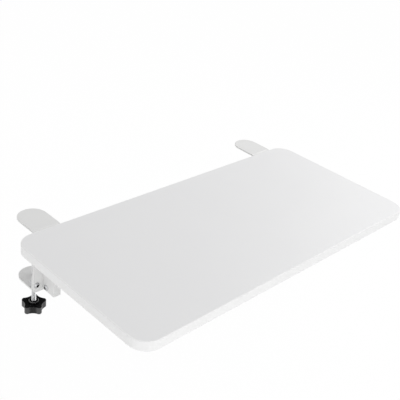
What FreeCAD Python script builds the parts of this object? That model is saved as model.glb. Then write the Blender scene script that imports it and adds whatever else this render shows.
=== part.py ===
"""Clamp-on desk extender: a laminated tray board carried by two screw clamps.

Frame, in millimetres: X runs along the tray with 0 at its middle, Y points at the desk with 0 on
the desk's front face, and Z points up with 0 on the desk's top surface.
Each clamp is built around its own centre line, X = 0, and is then moved to its place on the tray.
"""
import FreeCAD, Part
import math
import os
from FreeCAD import Rotation, Vector

# Tray board: a fibreboard core between two laminate sheets, closed by an edge band
tray_length = 640.0
tray_depth = 305.0
core_thickness = 16.0
laminate_thickness = 0.5
band_thickness = 2.0
band_rounding = 1.5
tray_corner_radius = 30.0

# Desk that the clamps grip, as it stands in the rest position
desk_thickness = 42.0

# Clamp bracket: one bent steel strip, a tongue on the desk and a spine down its edge
clamp_inset = 62.0
strip_width = 50.0
strip_thickness = 3.0
strip_inner_bend = 1.5
tongue_reach = 63.0
spine_drop = 114.5
spine_corner_radius = 4.0
strip_edge_rounding = 0.6
tongue_pad_thickness = 1.0
tongue_pad_margin = 3.0

# Lower jaw: a bent plate bolted behind the spine, with a weld nut under it
jaw_drop = 108.0
jaw_thickness = 3.0
jaw_leg_height = 32.0
jaw_corner_radius = 5.0
jaw_bolt_offset = 19.0
jaw_bolt_rise = 7.6

# Clamp screw, M8: plain cylinders stand for its thread
screw_diameter = 7.9
screw_pitch = 1.25
thread_clearance = 0.05
screw_reach = 34.0
screw_free_length = 108.8
spigot_diameter = 6.0
rivet_diameter = 9.0
rivet_height = 1.2
rivet_chamfer = 0.8
weld_nut_flats = 14.0
weld_nut_height = 6.5
jaw_hole_clearance = 0.55

# Swivel foot on the screw's upper end
pad_diameter = 30.0
pad_rubber_thickness = 3.0
pad_rim_wall = 1.4
pad_chamfer = 1.0
rivet_pocket_clearance = 0.7
disc_thickness = 2.5
hub_diameter = 14.0
hub_height = 5.0
hub_flare = 1.0
swivel_clearance = 0.08

# Star knob with its moulded-in threaded insert
knob_diameter = 43.0
knob_height = 18.0
knob_lobes = 5
lobe_radius = 4.7
valley_radius = 17.0
knob_rim_rounding = 1.8
knob_turn = 52.5
knob_hub_diameter = 17.0
knob_hub_rise = 2.8
knob_hub_chamfer = 1.0
knob_dish_width = 4.0
knob_dish_depth = 1.4
knob_dish_slope = 1.0
insert_cover = 1.5
insert_diameter = 12.0
insert_length = 12.0
screw_grip = 12.0
insert_run_out = 1.0

# Support arm under the tray, welded to the spine, and its wood screws
arm_width = 40.0
arm_thickness = 3.0
arm_reach = 182.0
arm_flange_height = 25.0
arm_screw_diameter = 4.0
arm_screw_length = 14.0
pilot_clearance = 0.5
arm_screw_head_diameter = 8.2
arm_screw_head_height = 2.6
arm_screw_spread = 27.0
arm_screw_setback = 44.0
arm_screw_pitch = 104.0

# Pressed channel rib: a post in front of the spine that sweeps into a rib under the arm
rib_width = 14.0
rib_wall = 1.5
rib_drop = 111.5
rib_depth = 30.5
rib_sweep_radius = 38.0
rib_root_height = 20.0
rib_tip_height = 6.0
rib_reach = 166.0
rib_bend_rounding = 1.2
rib_corner_relief = 1.0

# Welded lug inside the rib's lower end, and the cross bolt through both
lug_wall = 2.0
lug_depth = 15.0
lug_height = 12.0
lug_clearance = 0.1
rib_bolt_setback = 9.3
rib_bolt_rise = 6.8

# M6 hardware of the jaw bolts and the rib's cross bolt
bolt_diameter = 5.9
bolt_hole_clearance = 0.35
bolt_head_diameter = 10.5
bolt_head_height = 3.3
head_rim_share = 0.2
washer_diameter = 12.0
washer_thickness = 1.6
nut_flats = 10.0
nut_height = 5.2
bolt_tip = 2.0
hardware_clearance = 0.05

# How far a cutting shape runs past the face that it cuts, and how close two equal sizes must be
overcut = 1.0
tolerance = 0.001

# Levels and places that follow from the sizes above
tray_top = tongue_pad_thickness + strip_thickness
tray_bottom = tray_top - core_thickness - 2 * laminate_thickness
clamp_x = tray_length / 2 - clamp_inset
spine_front = -strip_thickness
jaw_bottom = -jaw_drop - jaw_thickness
jaw_bolt_z = -jaw_drop + jaw_bolt_rise
rib_bolt_y = spine_front - rib_bolt_setback
rib_bolt_z = -rib_drop + rib_bolt_rise
pad_top = -desk_thickness
disc_top = pad_top - pad_rubber_thickness
hub_bottom = disc_top - disc_thickness - hub_height
shoulder_z = hub_bottom - swivel_clearance
knob_top = shoulder_z - screw_free_length
knob_bottom = knob_top - knob_height
arm_bottom = tray_bottom - arm_thickness
bolt_hole_radius = bolt_diameter / 2 + bolt_hole_clearance
screw_holes = [
    (side * arm_screw_spread / 2, spine_front - arm_screw_setback - row * arm_screw_pitch)
    for side in (-1, 1)
    for row in (0, 1)
]


def prism_xy(wire, low, high):
    """A flat outline in X and Y, raised from low to high."""
    face = Part.Face(wire)
    face.translate(Vector(0, 0, low))
    return face.extrude(Vector(0, 0, high - low))


def prism_yz(points, width):
    """An outline of (Y, Z) points, extruded across X and centred on X = 0."""
    corners = [Vector(-width / 2, y, z) for y, z in points]
    face = Part.Face(Part.makePolygon(corners + corners[:1]))
    return face.extrude(Vector(width, 0, 0))


def rounded(solid, radius, wanted):
    """The solid with a fillet on the edges whose two end points pass the wanted test."""
    edges = [edge for edge in solid.Edges if all(wanted(v.Point) for v in edge.Vertexes)]
    return solid.makeFillet(radius, edges)


def near(value, target):
    return abs(value - target) < tolerance


def hole(radius, start, end):
    """A cylinder between two points, used to cut a hole."""
    axis = Vector(*end) - Vector(*start)
    return Part.makeCylinder(radius, axis.Length, Vector(*start), axis)


def revolve(points):
    """A solid turned about Z from a closed outline of (radius, Z) points."""
    corners = [Vector(r, 0, z) for r, z in points]
    face = Part.Face(Part.makePolygon(corners + corners[:1]))
    return face.revolve(Vector(0, 0, 0), Vector(0, 0, 1), 360)


def stand(solid, at, axis):
    """Turns a solid made along +Z to point along axis, and moves its origin to at."""
    solid.Placement = FreeCAD.Placement(Vector(*at), Rotation(Vector(0, 0, 1), Vector(*axis)))
    return solid


def tongue_wire(width, start, end):
    """A strip in X and Y from start to end, whose far end is a half round."""
    half = width / 2
    way = 1 if end > start else -1
    shoulder = end - way * half
    arc = Part.Arc(Vector(half, shoulder, 0), Vector(0, end, 0), Vector(-half, shoulder, 0))
    sides = [
        Part.makeLine(Vector(-half, start, 0), Vector(half, start, 0)),
        Part.makeLine(Vector(half, start, 0), Vector(half, shoulder, 0)),
        arc.toShape(),
        Part.makeLine(Vector(-half, shoulder, 0), Vector(-half, start, 0)),
    ]
    return Part.Wire(sides)


def tray_slab(inset, low, high):
    """The tray's rounded outline, drawn in by inset, raised from low to high."""
    length = tray_length - 2 * inset
    depth = tray_depth - 2 * inset
    rear = spine_front - inset
    slab = Part.makeBox(length, depth, high - low, Vector(-length / 2, rear - depth, low))
    uprights = [edge for edge in slab.Edges if near(edge.Length, high - low)]
    return slab.makeFillet(tray_corner_radius - inset, uprights)


def make_tray():
    """The tray's four layers, with pilot holes for both arms' screws."""
    core_low = tray_bottom + laminate_thickness
    core_high = tray_top - laminate_thickness
    core = tray_slab(band_thickness, core_low, core_high)
    lower = tray_slab(band_thickness, tray_bottom, core_low)
    upper = tray_slab(band_thickness, core_high, tray_top)
    whole = tray_slab(0, tray_bottom, tray_top)
    rims = [edge for edge in whole.Edges if near(edge.BoundBox.ZLength, 0)]
    band = whole.makeFillet(band_rounding, rims)
    band = band.cut(tray_slab(band_thickness, tray_bottom - overcut, tray_top + overcut))
    pilot_top = arm_bottom + arm_screw_length + pilot_clearance
    pilot_radius = arm_screw_diameter / 2 + hardware_clearance
    for side in (-1, 1):
        for x, y in screw_holes:
            place = side * clamp_x + x
            pilot = hole(pilot_radius, (place, y, tray_bottom - overcut), (place, y, pilot_top))
            core = core.cut(pilot)
            lower = lower.cut(pilot)
    return {"tray_core": core, "bottom_laminate": lower, "top_laminate": upper, "edge_band": band}


def clamp_bracket():
    """Tongue and spine in one bent strip, its tongue's end a half round."""
    outer_bend = strip_inner_bend + strip_thickness
    strip = prism_yz(
        [
            (tongue_reach, tray_top),
            (spine_front, tray_top),
            (spine_front, -spine_drop),
            (0, -spine_drop),
            (0, tongue_pad_thickness),
            (tongue_reach, tongue_pad_thickness),
        ],
        strip_width,
    )
    strip = rounded(strip, outer_bend, lambda p: near(p.y, spine_front) and near(p.z, tray_top))
    strip = rounded(strip, strip_inner_bend, lambda p: near(p.y, 0) and near(p.z, tongue_pad_thickness))
    plan = tongue_wire(strip_width, spine_front, tongue_reach)
    strip = strip.common(prism_xy(plan, -spine_drop, tray_top))
    for side in (-1, 1):
        corner = side * strip_width / 2
        strip = rounded(strip, spine_corner_radius, lambda p: near(p.x, corner) and near(p.z, -spine_drop))
    for x in (-jaw_bolt_offset, jaw_bolt_offset):
        start = (x, spine_front - overcut, jaw_bolt_z)
        strip = strip.cut(hole(bolt_hole_radius, start, (x, overcut, jaw_bolt_z)))
    bend_end = spine_front + outer_bend + tolerance
    top_edges = [edge for edge in strip.Edges if near(edge.BoundBox.ZMin, tray_top)]
    top_rim = [edge for edge in top_edges if edge.BoundBox.YMax > bend_end]
    return strip.makeFillet(strip_edge_rounding, top_rim)


def tongue_pad():
    """Thin anti-slip sheet under the tongue."""
    width = strip_width - 2 * tongue_pad_margin
    plan = tongue_wire(width, tongue_pad_margin, tongue_reach - tongue_pad_margin)
    return prism_xy(plan, 0, tongue_pad_thickness)


def lower_jaw():
    """Jaw plate with a half-round end, bent up into the leg that bolts behind the spine."""
    reach = screw_reach + strip_width / 2
    leg_top = jaw_bottom + jaw_leg_height
    plate = prism_yz(
        [
            (0, jaw_bottom),
            (reach, jaw_bottom),
            (reach, -jaw_drop),
            (jaw_thickness, -jaw_drop),
            (jaw_thickness, leg_top),
            (0, leg_top),
        ],
        strip_width,
    )
    outer_bend = strip_inner_bend + jaw_thickness
    plate = rounded(plate, outer_bend, lambda p: near(p.y, 0) and near(p.z, jaw_bottom))
    plate = rounded(plate, strip_inner_bend, lambda p: near(p.y, jaw_thickness) and near(p.z, -jaw_drop))
    plate = plate.common(prism_xy(tongue_wire(strip_width, 0, reach), jaw_bottom, leg_top))
    for side in (-1, 1):
        corner = side * strip_width / 2
        plate = rounded(plate, jaw_corner_radius, lambda p: near(p.x, corner) and near(p.z, leg_top))
    for x in (-jaw_bolt_offset, jaw_bolt_offset):
        start = (x, -overcut, jaw_bolt_z)
        plate = plate.cut(hole(bolt_hole_radius, start, (x, jaw_thickness + overcut, jaw_bolt_z)))
    screw_hole = screw_diameter / 2 + jaw_hole_clearance
    start = (0, screw_reach, jaw_bottom - overcut)
    return plate.cut(hole(screw_hole, start, (0, screw_reach, overcut - jaw_drop)))


def hex_nut(flats, height, bore_radius):
    """A hexagon nut along +Z from 0, flats across X, its corners chamfered at both ends."""
    corner = flats / math.sqrt(3)
    angles = [math.radians(60 * step) for step in range(6)]
    points = [Vector(corner * math.sin(a), corner * math.cos(a), 0) for a in angles]
    body = prism_xy(Part.makePolygon(points + points[:1]), 0, height)
    slope = (corner - flats / 2) * math.tan(math.radians(30))
    turned = revolve(
        [
            (0, 0),
            (flats / 2, 0),
            (corner, slope),
            (corner, height - slope),
            (flats / 2, height),
            (0, height),
        ]
    )
    return body.common(turned).cut(hole(bore_radius, (0, 0, -overcut), (0, 0, height + overcut)))


def dome_head(radius, height):
    """A button head on Z = 0: a low rim with a spherical crown."""
    crown = height * (1 - head_rim_share)
    sphere_radius = (radius * radius + crown * crown) / (2 * crown)
    ball = Part.makeSphere(sphere_radius, Vector(0, 0, height - sphere_radius))
    return ball.common(Part.makeCylinder(radius, height))


def button_bolt(grip):
    """An M6 button-head bolt: its head stands on Z = 0 and its shank runs down past the grip."""
    shank = hole(bolt_diameter / 2, (0, 0, -grip - bolt_tip), (0, 0, 0))
    return dome_head(bolt_head_diameter / 2, bolt_head_height).fuse(shank).removeSplitter()


def washer():
    """A flat M6 washer on Z = 0."""
    ring = Part.makeCylinder(washer_diameter / 2, washer_thickness)
    bore = bolt_diameter / 2 + hardware_clearance
    return ring.cut(hole(bore, (0, 0, -overcut), (0, 0, washer_thickness + overcut)))


def m6_nut():
    return hex_nut(nut_flats, nut_height, bolt_diameter / 2 + hardware_clearance)


def jaw_hardware():
    """Two M6 bolts through spine and leg, each with a washer and a nut at the rear."""
    bolts, washers, nuts = [], [], []
    grip = strip_thickness + jaw_thickness + washer_thickness + nut_height
    for x in (-jaw_bolt_offset, jaw_bolt_offset):
        bolts.append(stand(button_bolt(grip), (x, spine_front, jaw_bolt_z), (0, -1, 0)))
        washers.append(stand(washer(), (x, jaw_thickness, jaw_bolt_z), (0, 1, 0)))
        nuts.append(stand(m6_nut(), (x, jaw_thickness + washer_thickness, jaw_bolt_z), (0, 1, 0)))
    return {
        "jaw_bolts": Part.makeCompound(bolts),
        "jaw_washers": Part.makeCompound(washers),
        "jaw_nuts": Part.makeCompound(nuts),
    }


def rib_profile(width, inset, open_by):
    """The rib's side outline, drawn in by inset at its web and past its open sides by open_by."""
    front = spine_front - rib_depth + inset
    tip = spine_front - rib_reach + inset
    root_z = arm_bottom - rib_root_height + inset
    tip_z = arm_bottom - rib_tip_height + inset
    top = arm_bottom + open_by
    relief = strip_inner_bend + rib_corner_relief
    flange_rear = spine_front - arm_thickness
    flange_low = tray_bottom - arm_flange_height - hardware_clearance
    solid = prism_yz(
        [
            (spine_front + open_by, -rib_drop - open_by),
            (front, -rib_drop - open_by),
            (front, root_z),
            (tip, tip_z),
            (tip, top),
            (flange_rear - relief + open_by, top),
            (flange_rear + open_by, top - relief),
            (flange_rear + open_by, flange_low),
            (spine_front + open_by, flange_low),
        ],
        width,
    )
    sweep = rib_sweep_radius + inset
    return rounded(solid, sweep, lambda p: near(p.y, front) and near(p.z, root_z))


def arm_rib():
    """Pressed channel: a post in front of the spine that sweeps forward under the arm."""
    outer = rib_profile(rib_width, 0, 0)
    front = spine_front - rib_depth

    def on_web(edge):
        middle = edge.CenterOfMass
        on_side = near(abs(middle.x), rib_width / 2)
        return on_side and middle.y < front + tolerance and middle.z < arm_bottom - tolerance

    outer = outer.makeFillet(rib_bend_rounding, [edge for edge in outer.Edges if on_web(edge)])
    channel = outer.cut(rib_profile(rib_width - 2 * rib_wall, rib_wall, rib_wall))
    return channel.cut(rib_bolt_hole())


def rib_bolt_hole():
    """The cross bolt's hole, which passes through the rib and the lug inside it."""
    return hole(bolt_hole_radius, (-rib_width, rib_bolt_y, rib_bolt_z), (rib_width, rib_bolt_y, rib_bolt_z))


def fixing_lug():
    """Small channel welded to the spine, over which the rib's lower end fits."""
    width = rib_width - 2 * rib_wall - 2 * lug_clearance
    low = rib_bolt_z - lug_height / 2
    block = Part.makeBox(width, lug_depth, lug_height, Vector(-width / 2, spine_front - lug_depth, low))
    inner = width - 2 * lug_wall
    start = Vector(-inner / 2, spine_front - lug_depth - overcut, low - overcut)
    depth = lug_depth + overcut - lug_wall
    channel = block.cut(Part.makeBox(inner, depth, lug_height + 2 * overcut, start))
    return channel.cut(rib_bolt_hole())


def rib_hardware():
    """The cross bolt through rib and lug, its head on the left flank and its nut on the right."""
    side = rib_width / 2
    bolt = button_bolt(rib_width + nut_height)
    return {
        "rib_bolt": stand(bolt, (-side, rib_bolt_y, rib_bolt_z), (-1, 0, 0)),
        "rib_nut": stand(m6_nut(), (side, rib_bolt_y, rib_bolt_z), (1, 0, 0)),
    }


def support_arm():
    """Plate under the tray, bent down at the rear into the flange welded to the spine."""
    tip = spine_front - arm_reach
    plate = prism_yz(
        [
            (spine_front, tray_bottom),
            (tip, tray_bottom),
            (tip, arm_bottom),
            (spine_front - arm_thickness, arm_bottom),
            (spine_front - arm_thickness, tray_bottom - arm_flange_height),
            (spine_front, tray_bottom - arm_flange_height),
        ],
        arm_width,
    )
    outer_bend = strip_inner_bend + arm_thickness
    inner = spine_front - arm_thickness
    plate = rounded(plate, outer_bend, lambda p: near(p.y, spine_front) and near(p.z, tray_bottom))
    plate = rounded(plate, strip_inner_bend, lambda p: near(p.y, inner) and near(p.z, arm_bottom))
    plan = tongue_wire(arm_width, spine_front, tip)
    plate = plate.common(prism_xy(plan, tray_bottom - arm_flange_height, tray_bottom))
    radius = arm_screw_diameter / 2 + bolt_hole_clearance
    for x, y in screw_holes:
        plate = plate.cut(hole(radius, (x, y, arm_bottom - overcut), (x, y, tray_bottom + overcut)))
    return plate


def arm_screws():
    """Four pan-head wood screws, driven up through the arm into the tray."""
    screws = []
    for x, y in screw_holes:
        shank = hole(arm_screw_diameter / 2, (0, 0, -arm_screw_length), (0, 0, 0))
        head = dome_head(arm_screw_head_diameter / 2, arm_screw_head_height)
        screws.append(stand(head.fuse(shank).removeSplitter(), (x, y, arm_bottom), (0, 0, -1)))
    return Part.makeCompound(screws)


def clamp_screw():
    """Threaded rod: a riveted spigot in the foot, a shoulder under it, its lower end in the knob."""
    radius = screw_diameter / 2
    rivet_low = disc_top + swivel_clearance
    rod_low = knob_top - screw_grip
    chamfer = screw_pitch
    return revolve(
        [
            (0, rod_low),
            (radius - chamfer, rod_low),
            (radius, rod_low + chamfer),
            (radius, shoulder_z),
            (spigot_diameter / 2, shoulder_z),
            (spigot_diameter / 2, rivet_low),
            (rivet_diameter / 2, rivet_low),
            (rivet_diameter / 2 - rivet_chamfer, rivet_low + rivet_height),
            (0, rivet_low + rivet_height),
        ]
    )


def pad_disc():
    """Steel disc of the swivel foot, with the hub that turns on the screw's spigot."""
    bore = spigot_diameter / 2 + swivel_clearance
    edge = pad_diameter / 2 - pad_rim_wall
    disc_low = disc_top - disc_thickness
    return revolve(
        [
            (bore, hub_bottom),
            (hub_diameter / 2, hub_bottom),
            (hub_diameter / 2 + hub_flare, disc_low),
            (edge, disc_low),
            (edge, disc_top),
            (bore, disc_top),
        ]
    )


def pad_rubber():
    """Rubber cap on the disc: its rim wraps the disc's edge, its pocket clears the rivet."""
    outer = pad_diameter / 2
    rim = outer - pad_rim_wall
    pocket = rivet_diameter / 2 + rivet_pocket_clearance
    pocket_top = disc_top + rivet_height + rivet_pocket_clearance
    disc_low = disc_top - disc_thickness
    return revolve(
        [
            (0, pocket_top),
            (pocket, pocket_top),
            (pocket, disc_top),
            (rim, disc_top),
            (rim, disc_low),
            (outer, disc_low),
            (outer, pad_top - pad_chamfer),
            (outer - pad_chamfer, pad_top),
            (0, pad_top),
        ]
    )


def star_wire():
    """Plan of the knob: convex lobes joined by tangent hollows."""
    lobe_centre = knob_diameter / 2 - lobe_radius
    half_step = math.pi / knob_lobes
    gap = lobe_radius + valley_radius
    across = lobe_centre * math.sin(half_step)
    valley_centre = lobe_centre * math.cos(half_step) + math.sqrt(gap * gap - across * across)
    bottom = valley_centre - valley_radius
    lean = math.asin(across / gap)

    def polar(radius, angle):
        return Vector(radius * math.cos(angle), radius * math.sin(angle), 0)

    arcs = []
    for lobe in range(knob_lobes):
        middle = math.radians(knob_turn) + 2 * half_step * lobe
        centre = polar(lobe_centre, middle)
        opening = math.pi - half_step - lean
        start = centre + polar(lobe_radius, middle - math.pi + opening)
        end = centre + polar(lobe_radius, middle + math.pi - opening)
        arcs.append(Part.Arc(start, polar(knob_diameter / 2, middle), end).toShape())
        following = middle + 2 * half_step
        next_start = polar(lobe_centre, following) + polar(lobe_radius, following - math.pi + opening)
        arcs.append(Part.Arc(end, polar(bottom, middle + half_step), next_start).toShape())
    return Part.Wire(arcs)


def star_knob():
    """Five-lobed knob, dished round its raised hub, with a socket for its insert."""
    hub_base = knob_top - knob_hub_rise
    body = prism_xy(star_wire(), knob_bottom, hub_base)
    rims = [edge for edge in body.Edges if near(edge.BoundBox.ZLength, 0)]
    body = body.makeFillet(knob_rim_rounding, rims)
    hub_radius = knob_hub_diameter / 2
    dish_radius = hub_radius + knob_dish_width
    dish_low = hub_base - knob_dish_depth
    dish = revolve(
        [
            (hub_radius, dish_low),
            (dish_radius - knob_dish_slope, dish_low),
            (dish_radius, hub_base + overcut),
            (hub_radius, hub_base + overcut),
        ]
    )
    hub = revolve(
        [
            (0, dish_low - overcut),
            (hub_radius, dish_low - overcut),
            (hub_radius, knob_top - knob_hub_chamfer),
            (hub_radius - knob_hub_chamfer, knob_top),
            (0, knob_top),
        ]
    )
    recess = Part.makeCylinder(dish_radius, knob_dish_depth, Vector(0, 0, knob_bottom))
    body = body.cut(dish).fuse(hub).cut(recess).removeSplitter()
    insert_top = knob_top - insert_cover
    socket_radius = insert_diameter / 2 + hardware_clearance
    socket = hole(socket_radius, (0, 0, insert_top - insert_length), (0, 0, insert_top))
    way_in = hole(screw_diameter / 2 + swivel_clearance, (0, 0, insert_top), (0, 0, knob_top + overcut))
    return body.cut(socket).cut(way_in)


def knob_insert():
    """Threaded bush moulded into the knob, just under the face of its hub."""
    insert_top = knob_top - insert_cover
    bush = hole(insert_diameter / 2, (0, 0, insert_top - insert_length), (0, 0, insert_top))
    bore = screw_diameter / 2 + hardware_clearance
    bore_low = knob_top - screw_grip - insert_run_out
    return bush.cut(hole(bore, (0, 0, bore_low), (0, 0, insert_top + overcut)))


def make_clamp():
    """Every piece of one clamp, on its own centre line."""
    bore = screw_diameter / 2 + thread_clearance
    weld_nut = hex_nut(weld_nut_flats, weld_nut_height, bore)
    weld_nut.translate(Vector(0, 0, jaw_bottom - weld_nut_height))
    on_screw = {
        "jaw_weld_nut": weld_nut,
        "clamp_screw": clamp_screw(),
        "pad_disc": pad_disc(),
        "pad_rubber": pad_rubber(),
        "star_knob": star_knob(),
        "knob_insert": knob_insert(),
    }
    for piece in on_screw.values():
        piece.translate(Vector(0, screw_reach, 0))
    pieces = {
        "clamp_bracket": clamp_bracket(),
        "tongue_pad": tongue_pad(),
        "lower_jaw": lower_jaw(),
        "support_arm": support_arm(),
        "arm_rib": arm_rib(),
        "fixing_lug": fixing_lug(),
        "arm_screws": arm_screws(),
    }
    pieces.update(on_screw)
    pieces.update(jaw_hardware())
    pieces.update(rib_hardware())
    return pieces


def main():
    os.makedirs("parts", exist_ok=True)
    nodes = make_tray()
    for side, x in (("left", -clamp_x), ("right", clamp_x)):
        for name, piece in make_clamp().items():
            piece.translate(Vector(x, 0, 0))
            nodes[side + "_" + name] = piece
    for name, shape in nodes.items():
        shape.exportStep("parts/" + name + ".step")


main()
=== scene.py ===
import math

import bmesh
import bpy
from mathutils import Euler, Matrix, Vector


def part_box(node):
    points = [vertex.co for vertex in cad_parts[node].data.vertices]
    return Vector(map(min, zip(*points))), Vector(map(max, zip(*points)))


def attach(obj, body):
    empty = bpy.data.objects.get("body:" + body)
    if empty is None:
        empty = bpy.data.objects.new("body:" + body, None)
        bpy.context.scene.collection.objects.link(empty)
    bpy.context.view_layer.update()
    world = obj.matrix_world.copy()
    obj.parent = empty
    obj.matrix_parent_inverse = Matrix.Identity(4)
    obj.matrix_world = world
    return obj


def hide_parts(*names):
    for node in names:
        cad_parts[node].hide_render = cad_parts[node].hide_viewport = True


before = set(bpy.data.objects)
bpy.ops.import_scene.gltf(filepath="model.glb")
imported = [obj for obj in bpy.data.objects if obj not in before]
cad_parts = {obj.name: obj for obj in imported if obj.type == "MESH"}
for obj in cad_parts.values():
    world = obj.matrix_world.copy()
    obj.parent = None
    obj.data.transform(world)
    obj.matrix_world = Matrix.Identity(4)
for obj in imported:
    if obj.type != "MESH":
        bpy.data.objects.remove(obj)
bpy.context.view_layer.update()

# View: a long lens in front of the tray's left end and above it, so that the left clamp is nearest
# and the board runs away to the right, as the product is usually shown.
view_place = (-0.8182, -0.8149, 0.6266)
view_turn = (60.547, -6.693, -44.450)
lens = bpy.data.cameras.new("view")
lens.sensor_width = 36
lens.lens = 65.23
view = bpy.data.objects.new("view", lens)
view.location = view_place
view.rotation_euler = Euler([math.radians(angle) for angle in view_turn])
bpy.context.scene.collection.objects.link(view)
bpy.context.scene.camera = view
bpy.context.scene.view_settings.view_transform = "Standard"

# Studio: a pale room with a key lamp in front of the tray at its right, a fill at its left, a low
# strip lamp that reaches under the board and a lamp over the tray's right end. What the camera and
# polished metal see of the room is white.
pure_white = (1, 1, 1, 1)
room_light = 0.62
seen_light = 1.0
floor_level = -0.24
floor_size = 12.0
floor_white = (0.95, 0.95, 0.95, 1)
floor_roughness = 0.9
floor_glow = 0.98
# Each lamp's name, power in watts, width and height, and place.
lamps = (
    ("key_lamp", 15.5, (1.3, 1.3), (0.7, -1.5, 1.95)),
    ("fill_lamp", 3.4, (0.9, 0.9), (-1.9, 0.25, 0.45)),
    ("low_lamp", 5.8, (1.6, 0.3), (-0.9, -1.6, -0.02)),
    ("end_lamp", 3.6, (0.8, 0.8), (1.1, 0.0, 0.85)),
)


def white_to_the_eye(tree, lit, white):
    """Mixes a lit shader with plain white, which the camera, mirrors and glass see."""
    path = tree.nodes.new("ShaderNodeLightPath")
    seen = path.outputs["Is Camera Ray"]
    for ray in ("Is Glossy Ray", "Is Transmission Ray"):
        either = tree.nodes.new("ShaderNodeMath")
        either.operation = "MAXIMUM"
        tree.links.new(seen, either.inputs[0])
        tree.links.new(path.outputs[ray], either.inputs[1])
        seen = either.outputs[0]
    mix = tree.nodes.new("ShaderNodeMixShader")
    tree.links.new(seen, mix.inputs["Fac"])
    tree.links.new(lit.outputs[0], mix.inputs[1])
    tree.links.new(white.outputs[0], mix.inputs[2])
    return mix.outputs[0]


room = bpy.data.worlds.new("room")
room.use_nodes = True
bpy.context.scene.world = room
room_tree = room.node_tree
soft = room_tree.nodes["Background"]
plain = room_tree.nodes.new("ShaderNodeBackground")
for background, strength in ((soft, room_light), (plain, seen_light)):
    background.inputs["Color"].default_value = pure_white
    background.inputs["Strength"].default_value = strength
room_tree.links.new(
    white_to_the_eye(room_tree, soft, plain), room_tree.nodes["World Output"].inputs["Surface"]
)

for name, power, size, place in lamps:
    lamp = bpy.data.lights.new(name, "AREA")
    lamp.energy = power
    lamp.shape = "RECTANGLE"
    lamp.size, lamp.size_y = size
    holder = bpy.data.objects.new(name, lamp)
    holder.location = place
    holder.rotation_euler = (-Vector(place)).to_track_quat("-Z", "Y").to_euler()
    bpy.context.scene.collection.objects.link(holder)

ground = bmesh.new()
bmesh.ops.create_grid(ground, x_segments=1, y_segments=1, size=floor_size / 2)
bmesh.ops.translate(ground, verts=ground.verts, vec=(0, 0, floor_level))
floor_mesh = bpy.data.meshes.new("floor")
ground.to_mesh(floor_mesh)
ground.free()
floor = bpy.data.objects.new("floor", floor_mesh)
bpy.context.scene.collection.objects.link(floor)
paper = bpy.data.materials.new("floor_paper")
paper.use_nodes = True
paper_tree = paper.node_tree
paper_shader = paper_tree.nodes["Principled BSDF"]
paper_shader.inputs["Base Color"].default_value = floor_white
paper_shader.inputs["Roughness"].default_value = floor_roughness
glow = paper_tree.nodes.new("ShaderNodeEmission")
glow.inputs["Strength"].default_value = seen_light
faded = paper_tree.nodes.new("ShaderNodeMixShader")
faded.inputs["Fac"].default_value = floor_glow
paper_tree.links.new(paper_shader.outputs[0], faded.inputs[1])
paper_tree.links.new(glow.outputs[0], faded.inputs[2])
paper_tree.links.new(
    white_to_the_eye(paper_tree, paper_shader, faded),
    paper_tree.nodes["Material Output"].inputs["Surface"],
)
floor_mesh.materials.append(paper)

# Tray board: fibreboard between two sheets of white laminate with a fine pearl grain, closed all
# round by a smooth edge band whose two rims are rounded over.
laminate_white = (0.80, 0.80, 0.805)
laminate_shade = (0.77, 0.77, 0.775)
laminate_wear = (0.74, 0.74, 0.735)
band_white = (0.84, 0.84, 0.84)
band_shade = (0.81, 0.81, 0.805)
band_rim_painted_highlight = (0.87, 0.87, 0.87)
fibre_brown = (0.42, 0.30, 0.18)
fibre_pale = (0.62, 0.47, 0.31)
rim_samples = 4
wear_and_highlight_facing = 0.86
flat_facing = 0.995


def finish(name, colour, roughness, metallic=0.0, gloss=0.5):
    """A finish of one colour, to which the next helpers add grain, tone and wear."""
    made = bpy.data.materials.new(name)
    made.use_nodes = True
    shader = made.node_tree.nodes["Principled BSDF"]
    shader.inputs["Base Color"].default_value = (*colour, 1)
    shader.inputs["Roughness"].default_value = roughness
    shader.inputs["Metallic"].default_value = metallic
    shader.inputs["Specular IOR Level"].default_value = gloss
    return made


def grain(material, scale, detail, stretch=(1, 1, 1)):
    """A noise fixed to the piece, with about scale features for each metre."""
    tree = material.node_tree
    place = tree.nodes.new("ShaderNodeTexCoord")
    lay = tree.nodes.new("ShaderNodeMapping")
    lay.inputs["Scale"].default_value = stretch
    noise = tree.nodes.new("ShaderNodeTexNoise")
    noise.inputs["Scale"].default_value = scale
    noise.inputs["Detail"].default_value = detail
    tree.links.new(place.outputs["Object"], lay.inputs["Vector"])
    tree.links.new(lay.outputs["Vector"], noise.inputs["Vector"])
    return noise.outputs["Fac"]


def spread(material, factor, low, high, start=0.3, end=0.7):
    """Maps a factor from start to end onto low to high."""
    reach = material.node_tree.nodes.new("ShaderNodeMapRange")
    reach.inputs["From Min"].default_value = start
    reach.inputs["From Max"].default_value = end
    reach.inputs["To Min"].default_value = low
    reach.inputs["To Max"].default_value = high
    material.node_tree.links.new(factor, reach.inputs["Value"])
    return reach.outputs["Result"]


def blend_colour(material, factor, other):
    """Fades the colour so far towards another where the factor is 1."""
    tree = material.node_tree
    base = tree.nodes["Principled BSDF"].inputs["Base Color"]
    mix = tree.nodes.new("ShaderNodeMix")
    mix.data_type = "RGBA"
    if base.links:
        tree.links.new(base.links[0].from_socket, mix.inputs["A"])
    else:
        mix.inputs["A"].default_value = base.default_value
    mix.inputs["B"].default_value = (*other, 1)
    tree.links.new(factor, mix.inputs["Factor"])
    tree.links.new(mix.outputs["Result"], base)


def cloud_colour(material, noise, other, share):
    """Lets a noise carry the colour up to this share of the way to another."""
    blend_colour(material, spread(material, noise, 0.0, share), other)


def rounded_normal(material, radius):
    """The normal that the piece has with its edges rounded by this radius."""
    rim = material.node_tree.nodes.new("ShaderNodeBevel")
    rim.samples = rim_samples
    rim.inputs["Radius"].default_value = radius
    return rim.outputs["Normal"]


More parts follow.
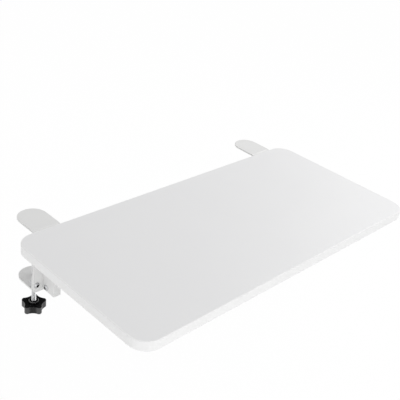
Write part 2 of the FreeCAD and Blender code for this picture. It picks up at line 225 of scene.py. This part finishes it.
def wear_and_highlight_edges(material, other, radius, share):
    """Carries the colour on the piece's edges this share of the way to another: real wear on some
    finishes, a painted highlight on others.
    """
    tree = material.node_tree
    flat = tree.nodes.new("ShaderNodeNewGeometry")
    facing = tree.nodes.new("ShaderNodeVectorMath")
    facing.operation = "DOT_PRODUCT"
    tree.links.new(rounded_normal(material, radius), facing.inputs[0])
    tree.links.new(flat.outputs["Normal"], facing.inputs[1])
    wear_and_highlight = spread(material, facing.outputs["Value"], share, 0.0, wear_and_highlight_facing, flat_facing)
    blend_colour(material, wear_and_highlight, other)


def vary_roughness(material, noise, low, high):
    """Lets a noise carry the roughness from low to high."""
    shader = material.node_tree.nodes["Principled BSDF"]
    material.node_tree.links.new(spread(material, noise, low, high), shader.inputs["Roughness"])


def emboss(material, factor, height, rounding=0.0):
    """Raises the surface by the factor, in metres, over its last relief or over rounded edges."""
    tree = material.node_tree
    normal = tree.nodes["Principled BSDF"].inputs["Normal"]
    bump = tree.nodes.new("ShaderNodeBump")
    bump.inputs["Strength"].default_value = 1.0
    bump.inputs["Distance"].default_value = height
    tree.links.new(factor, bump.inputs["Height"])
    if normal.links:
        tree.links.new(normal.links[0].from_socket, bump.inputs["Normal"])
    elif rounding:
        tree.links.new(rounded_normal(material, rounding), bump.inputs["Normal"])
    tree.links.new(bump.outputs["Normal"], normal)


def dress(material, *names):
    """Gives CAD nodes a finish."""
    for name in names:
        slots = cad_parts[name].data.materials
        slots.clear()
        slots.append(material)


laminate = finish("pearl_laminate", laminate_white, roughness=0.42)
pearl = grain(laminate, scale=1400, detail=3)
cloud_colour(laminate, grain(laminate, scale=7, detail=3), laminate_shade, share=0.35)
wear_and_highlight_edges(laminate, laminate_wear, radius=0.0005, share=0.5)
vary_roughness(laminate, pearl, low=0.36, high=0.5)
emboss(laminate, pearl, height=0.00003)
dress(laminate, "top_laminate", "bottom_laminate")

band = finish("edge_band_plastic", band_white, roughness=0.31)
cloud_colour(band, grain(band, scale=11, detail=3), band_shade, share=0.4)
# The band's rims are lightened: a painted highlight along them.
wear_and_highlight_edges(band, band_rim_painted_highlight, radius=0.0006, share=0.3)
emboss(band, grain(band, scale=45, detail=1), height=0.00002)
dress(band, "edge_band")

fibreboard = finish("raw_fibreboard", fibre_brown, roughness=0.85)
fibre = grain(fibreboard, scale=900, detail=5, stretch=(1, 1, 0.4))
cloud_colour(fibreboard, fibre, fibre_pale, share=0.8)
vary_roughness(fibreboard, fibre, low=0.75, high=0.95)
emboss(fibreboard, fibre, height=0.0001)
dress(fibreboard, "tray_core")

# Steel strips and plates: cut from 3 mm strip and 1.5 mm sheet, bent and welded, then powder coated
# white. The coat flows a little, so that it has a faint orange peel and soft edges.
sides = ("left", "right")
coated_pieces = (
    "clamp_bracket", "lower_jaw", "support_arm", "arm_rib", "fixing_lug", "jaw_weld_nut"
)
coat_white = (0.76, 0.76, 0.755)
coat_shade = (0.73, 0.73, 0.725)
coat_edge_painted_highlight = (0.84, 0.84, 0.84)
coat = finish("white_powder_coat", coat_white, roughness=0.36)
cloud_colour(coat, grain(coat, scale=30, detail=4), coat_shade, share=0.5)
# The coat's edges are lightened towards a whiter colour: a painted highlight along them.
wear_and_highlight_edges(coat, coat_edge_painted_highlight, radius=0.0007, share=0.5)
vary_roughness(coat, grain(coat, scale=90, detail=3), low=0.3, high=0.44)
emboss(coat, grain(coat, scale=620, detail=1), height=0.00006, rounding=0.0005)
for side in sides:
    dress(coat, *(f"{side}_{piece}" for piece in coated_pieces))

# Tongue pads: thin pale sheets of soft plastic stuck under the tongues, so that steel never
# touches the desk's top.
grip_grey = (0.62, 0.62, 0.61)
grip_shade = (0.52, 0.52, 0.51)
grip_sheet = finish("grip_sheet", grip_grey, roughness=0.7)
cells = grain(grip_sheet, scale=1800, detail=2)
cloud_colour(grip_sheet, cells, grip_shade, share=0.6)
vary_roughness(grip_sheet, cells, low=0.6, high=0.85)
emboss(grip_sheet, cells, height=0.00008)
for side in sides:
    dress(grip_sheet, f"{side}_tongue_pad")

# Clamp screws: zinc-plated M8 rods with a rolled thread of 1.25 mm pitch, whose roots have painted
# shade. A plain spigot at the top is riveted over in the foot, and the lower end is fast in the
# knob.
rod_radius = 0.00395
rod_pitch = 0.00125
spigot_radius = 0.003
swivel_clearance = 0.00008
collar_height = 0.0004
collar_step = 0.0003
rivet_radius = 0.0045
# Corners of the rivet's head: how far inside its rim, and how far above its foot.
rivet_dome = ((0.0, 0.0), (0.0, 0.0003), (0.0008, 0.0010), (0.0025, 0.0012))
thread_depth_to_pitch = 0.61
# Corners of one turn's section, as shares of the thread's depth and pitch.
thread_flanks = ((0, 0), (0, 0.12), (1, 0.45), (1, 0.67), (0, 1))
lead_taper = 0.2
root_depth = 0.0007
crest_depth = 0.00015
same_point = 0.000001
thread_zinc_colour = (0.80, 0.805, 0.815)
thread_zinc_shade = (0.70, 0.70, 0.71)
root_painted_shade_colour = (0.62, 0.62, 0.615)


def screw_axis(side):
    """Where the upright axis of a side's clamp screw stands, in X and Y."""
    low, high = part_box(f"{side}_clamp_screw")
    return (low.x + high.x) / 2, (low.y + high.y) / 2


def axis_distance(material):
    """The distance from the nearer of the two screws' axes, which mirror each other in X."""
    x, y = screw_axis("right")
    tree = material.node_tree
    place = tree.nodes.new("ShaderNodeTexCoord")
    near_side = tree.nodes.new("ShaderNodeVectorMath")
    near_side.operation = "ABSOLUTE"
    tree.links.new(place.outputs["Object"], near_side.inputs[0])
    flat = tree.nodes.new("ShaderNodeVectorMath")
    flat.operation = "MULTIPLY_ADD"
    flat.inputs[1].default_value = (1, 1, 0)
    flat.inputs[2].default_value = (-x, -y, 0)
    tree.links.new(near_side.outputs[0], flat.inputs[0])
    away = tree.nodes.new("ShaderNodeVectorMath")
    away.operation = "LENGTH"
    tree.links.new(flat.outputs[0], away.inputs[0])
    return away.outputs["Value"]


thread_zinc = finish("zinc_thread_painted_roots", thread_zinc_colour, roughness=0.26, metallic=1.0)
streak = grain(thread_zinc, scale=260, detail=4)
cloud_colour(thread_zinc, grain(thread_zinc, scale=70, detail=3), thread_zinc_shade, share=0.5)
# Painted shade: the thread's roots, nearer the axis than its crests, are darkened.
rod_reach = axis_distance(thread_zinc)
root_painted_shade = spread(
    thread_zinc, rod_reach, 1.0, 0.0, rod_radius - root_depth, rod_radius - crest_depth
)
blend_colour(thread_zinc, root_painted_shade, root_painted_shade_colour)
vary_roughness(thread_zinc, streak, low=0.26, high=0.42)
emboss(thread_zinc, streak, height=0.00001)


def turned(profile, steps=32):
    """Turns an outline of (radius, height) points once round Z into a closed shell."""
    shell = bmesh.new()
    points = [shell.verts.new((radius, 0, height)) for radius, height in profile]
    lines = [shell.edges.new(pair) for pair in zip(points, points[1:])]
    bmesh.ops.spin(
        shell,
        geom=points + lines,
        cent=(0, 0, 0),
        axis=(0, 0, 1),
        dvec=(0, 0, 0),
        angle=math.tau,
        steps=steps,
        use_merge=True,
    )
    bmesh.ops.remove_doubles(shell, verts=shell.verts, dist=same_point)
    bmesh.ops.recalc_face_normals(shell, faces=shell.faces)
    return shell


def add_shell(shell, other):
    """Moves another shell's geometry into this one."""
    held = bpy.data.meshes.new("held")
    other.to_mesh(held)
    other.free()
    shell.from_mesh(held)
    bpy.data.meshes.remove(held)


def thread(shell, radius, pitch, low, high, steps=20):
    """Adds a right-hand thread between two heights, its lower end tapered to start in a nut."""
    depth = thread_depth_to_pitch * pitch
    strip = bmesh.new()
    points = [
        strip.verts.new((radius - depth * dip, 0, pitch * rise)) for dip, rise in thread_flanks
    ]
    lines = [strip.edges.new(pair) for pair in zip(points, points[1:])]
    turns = math.ceil((high - low) / pitch) + 2
    bmesh.ops.spin(
        strip,
        geom=points + lines,
        cent=(0, 0, 0),
        axis=(0, 0, 1),
        dvec=(0, 0, pitch / steps),
        angle=math.tau * turns,
        steps=steps * turns,
    )
    bmesh.ops.translate(strip, verts=strip.verts, vec=(0, 0, low - pitch))
    bmesh.ops.remove_doubles(strip, verts=strip.verts, dist=pitch / 100)
    for height, way in ((low, -1), (high, 1)):
        cut = bmesh.ops.bisect_plane(
            strip,
            geom=strip.verts[:] + strip.edges[:] + strip.faces[:],
            dist=same_point / 10,
            plane_co=(0, 0, height),
            plane_no=(0, 0, way),
            clear_outer=True,
        )
        rim = [part for part in cut["geom_cut"] if isinstance(part, bmesh.types.BMEdge)]
        bmesh.ops.edgeloop_fill(strip, edges=rim)
    for point in strip.verts:
        if point.co.z < low + pitch:
            point.co.xy *= 1 - lead_taper * (low + pitch - point.co.z) / pitch
    bmesh.ops.recalc_face_normals(strip, faces=strip.faces)
    add_shell(shell, strip)


def stand(shell, place, axis=(0, 0, 1), turn=0.0):
    """Turns a shell made along +Z to point along axis, and moves its origin to place."""
    lean = Vector((0, 0, 1)).rotation_difference(Vector(axis)).to_matrix().to_4x4()
    matrix = Matrix.Translation(place) @ lean @ Matrix.Rotation(turn, 4, "Z")
    bmesh.ops.transform(shell, matrix=matrix, verts=shell.verts)


def keep(name, shell, materials, body, slot, *stands_for, crease=35):
    """Makes a finished shell a piece of the object, in one or more materials."""
    mesh = bpy.data.meshes.new(name)
    shell.to_mesh(mesh)
    shell.free()
    mesh.shade_smooth()
    mesh.set_sharp_from_angle(angle=math.radians(crease))
    for material in materials:
        mesh.materials.append(material)
    made = bpy.data.objects.new(name, mesh)
    bpy.context.scene.collection.objects.link(made)
    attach(made, body)
    if stands_for:
        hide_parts(*stands_for)


for side in sides:
    disc_low, disc_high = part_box(f"{side}_pad_disc")
    rod_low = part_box(f"{side}_clamp_screw")[0].z
    shoulder = disc_low.z - swivel_clearance
    thread_end = shoulder - collar_height
    rivet_low = disc_high.z + swivel_clearance
    profile = [
        (0, thread_end),
        (rod_radius - collar_step, thread_end),
        (rod_radius - collar_step, shoulder),
        (spigot_radius, shoulder),
        (spigot_radius, rivet_low),
    ]
    profile += [(rivet_radius - inset, rivet_low + rise) for inset, rise in rivet_dome]
    profile += [(0, profile[-1][1])]
    rod = turned(profile)
    thread(rod, rod_radius, rod_pitch, rod_low, thread_end)
    stand(rod, (*screw_axis(side), 0))
    keep(
        f"{side}_threaded_rod",
        rod,
        [thread_zinc],
        f"{side}_screw",
        "zinc_steel",
        f"{side}_clamp_screw",
    )

# Star knobs: five lobes moulded in black thermoset, round a raised hub that hides a brass bush. The
# mould leaves a fine seam round them. Their specular level paints their reflection: low on level
# faces, high on upright walls, most of all at the lobes' ends, and high on the hub's chamfer.
knob_dark = (0.004, 0.004, 0.0042)
knob_shade = (0.007, 0.007, 0.0073)
knob_edge_wear_and_highlight = (0.03, 0.03, 0.03)
valley_reach = 0.0165
lobe_reach = 0.0195
hub_reach = 0.0090
hub_fade = 0.0004
valley_painted_reflection = 0.28
lobe_painted_reflection = 1.0
flat_painted_reflection = 0.05
wall_levels = (0.05, 0.5)
chamfer_levels = (0.8, 0.95)
seam_share = 0.4
seam_half_width = 0.0002
seam_height = 0.0001
brass_yellow = (0.66, 0.47, 0.2)
brass_brown = (0.55, 0.38, 0.15)


def combine(material, operation, one, other):
    """Two factors put together by a Math operation."""
    maths = material.node_tree.nodes.new("ShaderNodeMath")
    maths.operation = operation
    material.node_tree.links.new(one, maths.inputs[0])
    material.node_tree.links.new(other, maths.inputs[1])
    return maths.outputs[0]


def upright_part(material, source, offset=0.0):
    """How far the Z of a coordinate is from an offset, up or down."""
    tree = material.node_tree
    place = tree.nodes.new("ShaderNodeTexCoord")
    split = tree.nodes.new("ShaderNodeSeparateXYZ")
    tree.links.new(place.outputs[source], split.inputs["Vector"])
    above = tree.nodes.new("ShaderNodeMath")
    above.operation = "SUBTRACT"
    above.inputs[1].default_value = offset
    tree.links.new(split.outputs["Z"], above.inputs[0])
    apart = tree.nodes.new("ShaderNodeMath")
    apart.operation = "ABSOLUTE"
    tree.links.new(above.outputs[0], apart.inputs[0])
    return apart.outputs[0]


knob_black = finish("moulded_black", knob_dark, roughness=0.3, gloss=0.35)
flow = grain(knob_black, scale=220, detail=3)
cloud_colour(knob_black, grain(knob_black, scale=60, detail=2), knob_shade, share=0.5)
# The knob's edges are lightened, as wear and as a painted highlight.
wear_and_highlight_edges(knob_black, knob_edge_wear_and_highlight, radius=0.0006, share=0.3)
vary_roughness(knob_black, flow, low=0.2, high=0.32)
emboss(knob_black, flow, height=0.00004)

# Painted reflection: the specular level is set by how level each face is and how far it lies from
# the screw's axis.
level = upright_part(knob_black, "Normal")
reach = axis_distance(knob_black)
wall_painted_reflection = combine(
    knob_black,
    "MULTIPLY",
    spread(knob_black, reach, valley_painted_reflection, lobe_painted_reflection, valley_reach, lobe_reach),
    spread(knob_black, level, 1.0, flat_painted_reflection, *wall_levels),
)
hub_painted_reflection = combine(
    knob_black,
    "MULTIPLY",
    spread(knob_black, reach, 1.0, 0.0, hub_reach, hub_reach + hub_fade),
    spread(knob_black, level, 1.0, 0.0, *chamfer_levels),
)
knob_black.node_tree.links.new(
    combine(knob_black, "MAXIMUM", wall_painted_reflection, hub_painted_reflection),
    knob_black.node_tree.nodes["Principled BSDF"].inputs["Specular IOR Level"],
)

knob_low, knob_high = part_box("left_star_knob")
seam_level = knob_low.z + seam_share * (knob_high.z - knob_low.z)
from_seam = upright_part(knob_black, "Object", seam_level)
seam = spread(knob_black, from_seam, 1.0, 0.0, start=0.0, end=seam_half_width)
emboss(knob_black, seam, seam_height)

brass = finish("turned_brass", brass_yellow, roughness=0.28, metallic=1.0)
turning = grain(brass, scale=900, detail=2, stretch=(1, 1, 6))
cloud_colour(brass, turning, brass_brown, share=0.5)
vary_roughness(brass, turning, low=0.22, high=0.4)
emboss(brass, turning, height=0.00001)
for side in sides:
    dress(knob_black, f"{side}_star_knob")
    dress(brass, f"{side}_knob_insert")

# Swivel feet: a zinc-plated disc whose hub turns on the screw's spigot, capped with moulded black
# rubber that has three raised rings for grip and a softened rim.
ring_height = 0.0006
ring_radii = (0.0122, 0.0083, 0.0044)
ring_top = 0.0007
ring_foot = 0.0010
cap_softness = 0.0003
cap_shoulder = 0.0012
cap_steps = 64
pocket_radius = 0.0052
pocket_depth = 0.0019
zinc_colour = (0.74, 0.745, 0.76)
zinc_shade = (0.65, 0.65, 0.66)
zinc_wear = (0.85, 0.85, 0.85)
rubber_black = (0.03, 0.03, 0.03)
rubber_bloom = (0.05, 0.05, 0.05)

zinc = finish("bright_zinc", zinc_colour, roughness=0.26, metallic=1.0)
plating = grain(zinc, scale=260, detail=4)
cloud_colour(zinc, grain(zinc, scale=70, detail=3), zinc_shade, share=0.6)
wear_and_highlight_edges(zinc, zinc_wear, radius=0.0003, share=0.6)
vary_roughness(zinc, plating, low=0.26, high=0.46)
emboss(zinc, plating, height=0.00001)

foot_rubber = finish("foot_rubber", rubber_black, roughness=0.7)
bloom = grain(foot_rubber, scale=500, detail=3)
cloud_colour(foot_rubber, bloom, rubber_bloom, share=0.6)
vary_roughness(foot_rubber, bloom, low=0.6, high=0.85)
emboss(foot_rubber, bloom, height=0.00004)


def rubber_cap(low, high, disc_top, disc_radius):
    """The cap's section: a pocket over the rivet, a skirt round the disc, and rings on its face."""
    outer = (high.x - low.x) / 2
    base = high.z - ring_height
    profile = [
        (0, disc_top + pocket_depth),
        (pocket_radius, disc_top + pocket_depth),
        (pocket_radius, disc_top),
        (disc_radius, disc_top),
        (disc_radius, low.z),
        (outer - cap_softness, low.z),
        (outer, low.z + cap_softness),
        (outer, high.z - cap_shoulder),
        (outer - cap_softness, high.z - cap_shoulder + cap_softness),
        (outer - cap_shoulder + cap_softness, base),
    ]
    for ring in ring_radii:
        profile.append((ring + ring_foot, base))
        profile.append((ring + ring_top, high.z))
        profile.append((ring - ring_top, high.z))
        profile.append((ring - ring_foot, base))
    return turned(profile + [(0, base)], cap_steps)


for side in sides:
    dress(zinc, f"{side}_pad_disc")
    disc_low, disc_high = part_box(f"{side}_pad_disc")
    disc_radius = (disc_high.x - disc_low.x) / 2
    cap = rubber_cap(*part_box(f"{side}_pad_rubber"), disc_high.z, disc_radius)
    stand(cap, (*screw_axis(side), 0))
    keep(
        f"{side}_ringed_cap",
        cap,
        [foot_rubber],
        f"{side}_foot",
        "foot_rubber",
        f"{side}_pad_rubber",
    )

# Bolting: M6 bolts whose button heads have hexagon sockets, darkened inside with painted shade, and
# a thread that shows past the nut. Bolts, nuts and washers are zinc-plated, duller than the clamp
# screws.
head_radius = 0.00525
head_height = 0.0033
head_rim = 0.00066
head_steps = 24
crown_rings = 6
socket_flats = 0.004
socket_depth = 0.0021
socket_chamfer = 0.00015
shank_radius = 0.00295
m6_pitch = 0.001
thread_length = 0.009
jaw_bolt_turns = (0.2, 0.7)
rib_bolt_turn = 0.4
dull_zinc_colour = (0.54, 0.545, 0.555)
dull_zinc_shade = (0.46, 0.46, 0.47)
dull_zinc_wear = (0.68, 0.68, 0.68)
socket_painted_shade_black = (0.018, 0.018, 0.018)
socket_painted_shade_brown = (0.04, 0.038, 0.035)

bolt_zinc = finish("dull_zinc", dull_zinc_colour, roughness=0.45, metallic=1.0)
frost = grain(bolt_zinc, scale=300, detail=4)
cloud_colour(bolt_zinc, grain(bolt_zinc, scale=90, detail=3), dull_zinc_shade, share=0.6)
wear_and_highlight_edges(bolt_zinc, dull_zinc_wear, radius=0.0003, share=0.5)
vary_roughness(bolt_zinc, frost, low=0.4, high=0.58)
emboss(bolt_zinc, frost, height=0.00001)

# Painted shade: a dark finish given to the faces inside sockets and cross recesses.
painted_socket_shade = finish("painted_socket_shade", socket_painted_shade_black, roughness=0.55, gloss=0.3)
shade_mottle = grain(painted_socket_shade, scale=900, detail=3)
cloud_colour(painted_socket_shade, shade_mottle, socket_painted_shade_brown, share=0.6)
vary_roughness(painted_socket_shade, shade_mottle, low=0.45, high=0.7)
emboss(painted_socket_shade, shade_mottle, height=0.00003)


def crown(radius, height, rim, stop):
    """The outline of a domed head from its rim in to the radius stop, with one point a ring."""
    rise = height - rim
    ball = (radius * radius + rise * rise) / (2 * rise)
    steps = [radius + (stop - radius) * step / crown_rings for step in range(crown_rings + 1)]
    return [(reach, height - ball + math.sqrt(ball * ball - reach * reach)) for reach in steps]


def to_hexagon(shell, radius, flats):
    """Moves the loops of one radius onto a hexagon of this size across its flats."""
    for point in shell.verts:
        around = point.co.xy
        if abs(around.length - radius) < same_point:
            angle = math.atan2(around.y, around.x) % (math.pi / 3) - math.pi / 6
            point.co.xy = around * (flats / 2 / math.cos(angle) / radius)


def darken_recess(shell, radius, floor):
    """Gives the faces inside a recess the second material, which paints shade there."""
    for face in shell.faces:
        middle = face.calc_center_median()
        if middle.xy.length < radius and middle.z > floor:
            face.material_index = 1


def button_bolt(reach):
    """A bolt along Z with its head on Z = 0, and a shank that reaches down past its nut."""
    corner = socket_flats / math.sqrt(3)
    dome = crown(head_radius, head_height, head_rim, corner + socket_chamfer)
    floor = head_height - socket_depth
    thread_top = thread_length - reach
    core = shank_radius - collar_step
    profile = [
        (0, thread_top - m6_pitch),
        (core, thread_top - m6_pitch),
        (core, thread_top),
        (shank_radius, thread_top),
        (shank_radius, 0),
        (head_radius, 0),
        *dome,
        (corner, dome[-1][1] - socket_chamfer),
        (corner, floor),
        (corner / 2, floor - socket_chamfer),
        (0, floor - socket_chamfer),
    ]
    shell = turned(profile, head_steps)
    to_hexagon(shell, corner, socket_flats)
    darken_recess(shell, corner, floor - 2 * socket_chamfer)
    thread(shell, shank_radius, m6_pitch, -reach, thread_top)
    return shell


def fit_bolting(name, shell, stands_for):
    """Keeps plated bolts or screws with painted shade in their recesses, fast in the frame."""
    keep(name, shell, [bolt_zinc, painted_socket_shade], "frame", "zinc_steel", stands_for)


for side in sides:
    low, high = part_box(f"{side}_jaw_bolts")
    pair = bmesh.new()
    for place, turn in zip((low.x + head_radius, high.x - head_radius), jaw_bolt_turns):
        bolt = button_bolt(high.y - low.y - head_height)
        stand(bolt, (place, low.y + head_height, (low.z + high.z) / 2), (0, -1, 0), turn)
        add_shell(pair, bolt)
    fit_bolting(f"{side}_socket_bolts", pair, f"{side}_jaw_bolts")
    low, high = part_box(f"{side}_rib_bolt")
    bolt = button_bolt(high.x - low.x - head_height)
    place = (low.x + head_height, (low.y + high.y) / 2, (low.z + high.z) / 2)
    stand(bolt, place, (-1, 0, 0), rib_bolt_turn)
    fit_bolting(f"{side}_cross_bolt", bolt, f"{side}_rib_bolt")
    dress(bolt_zinc, f"{side}_jaw_washers", f"{side}_jaw_nuts", f"{side}_rib_nut")

# Wood screws: four pan heads with cross recesses hold each arm to the board. They are plated as the
# bolts are, with painted shade in their recesses, and each is left at its own angle by the driver.
pan_radius = 0.0041
pan_height = 0.0026
pan_rim = 0.0008
pan_steps = 32
cross_reach = 0.0023
cross_half = 0.0009
cross_depth = 0.0016
cross_narrowing = 0.45
wood_shank_radius = 0.002
first_turn = 0.3
next_turn = 0.9


def to_cross(shell, radius, reach):
    """Moves the loops of one radius onto a cross with four arms of this reach."""
    half = cross_half * reach / cross_reach
    for point in shell.verts:
        around = point.co.xy
        if abs(around.length - radius) < same_point:
            angle = math.atan2(around.y, around.x) % (math.pi / 2)
            off_arm = min(angle, math.pi / 2 - angle)
            arm = min(reach, half / max(math.sin(off_arm), same_point))
            point.co.xy = around * (arm / radius)


def pan_screw(reach):
    """A wood screw along Z with its head on Z = 0 and a plain shank below."""
    opening = cross_reach + socket_chamfer
    inner = opening * cross_narrowing
    dome = crown(pan_radius, pan_height, pan_rim, opening)
    lip = dome[-1][1]
    profile = [
        (0, -reach),
        (wood_shank_radius, wood_shank_radius - reach),
        (wood_shank_radius, 0),
        (pan_radius, 0),
        *dome,
        (cross_reach, lip),
        (inner, lip - cross_depth),
        (0, lip - cross_depth - socket_chamfer),
    ]
    shell = turned(profile, pan_steps)
    to_cross(shell, cross_reach, cross_reach)
    to_cross(shell, inner, cross_reach * cross_narrowing)
    darken_recess(shell, cross_reach, lip - cross_depth - 2 * socket_chamfer)
    return shell


for side in sides:
    low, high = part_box(f"{side}_arm_screws")
    four = bmesh.new()
    turn = first_turn
    for place in (low.x + pan_radius, high.x - pan_radius):
        for depth in (low.y + pan_radius, high.y - pan_radius):
            screw = pan_screw(high.z - low.z - pan_height)
            stand(screw, (place, depth, low.z + pan_height), (0, 0, -1), turn)
            add_shell(four, screw)
            turn += next_turn
    fit_bolting(f"{side}_pan_screws", four, f"{side}_arm_screws")

# Welds: short beads of overlapping drops, under the powder coat. They hold each arm's flange to the
# spine, the rib to the arm, and the weld nut to the jaw.
bead_radius = 0.0014
bead_step = 0.0011
bead_crease = 60
flange_bead_inset = 0.003
flange_bead_end = 0.004
rib_bead_starts = (-0.075, -0.140)
rib_bead_length = 0.014
nut_beads = 3
nut_bead_radius = 0.0011
nut_bead_drops = 4


def bead(shell, start, end, radius=bead_radius):
    """A weld bead from start to end."""
    way = Vector(end) - Vector(start)
    count = max(1, round(way.length / bead_step))
    for drop in range(count + 1):
        place = Matrix.Translation(Vector(start) + way * drop / count)
        bmesh.ops.create_icosphere(shell, subdivisions=2, radius=radius, matrix=place)


for side in sides:
    arm_low, arm_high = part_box(f"{side}_support_arm")
    rib_low, rib_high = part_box(f"{side}_arm_rib")
    nut_low, nut_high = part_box(f"{side}_jaw_weld_nut")
    beads = bmesh.new()
    foot = arm_low.z + flange_bead_inset
    top = rib_high.z - flange_bead_end
    for flank in (arm_low.x, arm_high.x):
        bead(beads, (flank, arm_high.y, foot), (flank, arm_high.y, top))
    for flank in (rib_low.x, rib_high.x):
        for start in rib_bead_starts:
            bead(beads, (flank, start, rib_high.z), (flank, start - rib_bead_length, rib_high.z))
    reach = (nut_high.x - nut_low.x) / 2 * math.cos(math.pi / 6)
    for number in range(nut_beads):
        angle = math.tau * number / nut_beads + math.pi / 6
        outward = Vector((math.cos(angle), math.sin(angle), 0))
        middle = Vector((*screw_axis(side), nut_high.z)) + reach * outward
        along = Vector((-outward.y, outward.x, 0)) * bead_step * nut_bead_drops / 2
        bead(beads, middle - along, middle + along, nut_bead_radius)
    keep(f"{side}_weld_beads", beads, [coat], "frame", "coated_steel", crease=bead_crease)
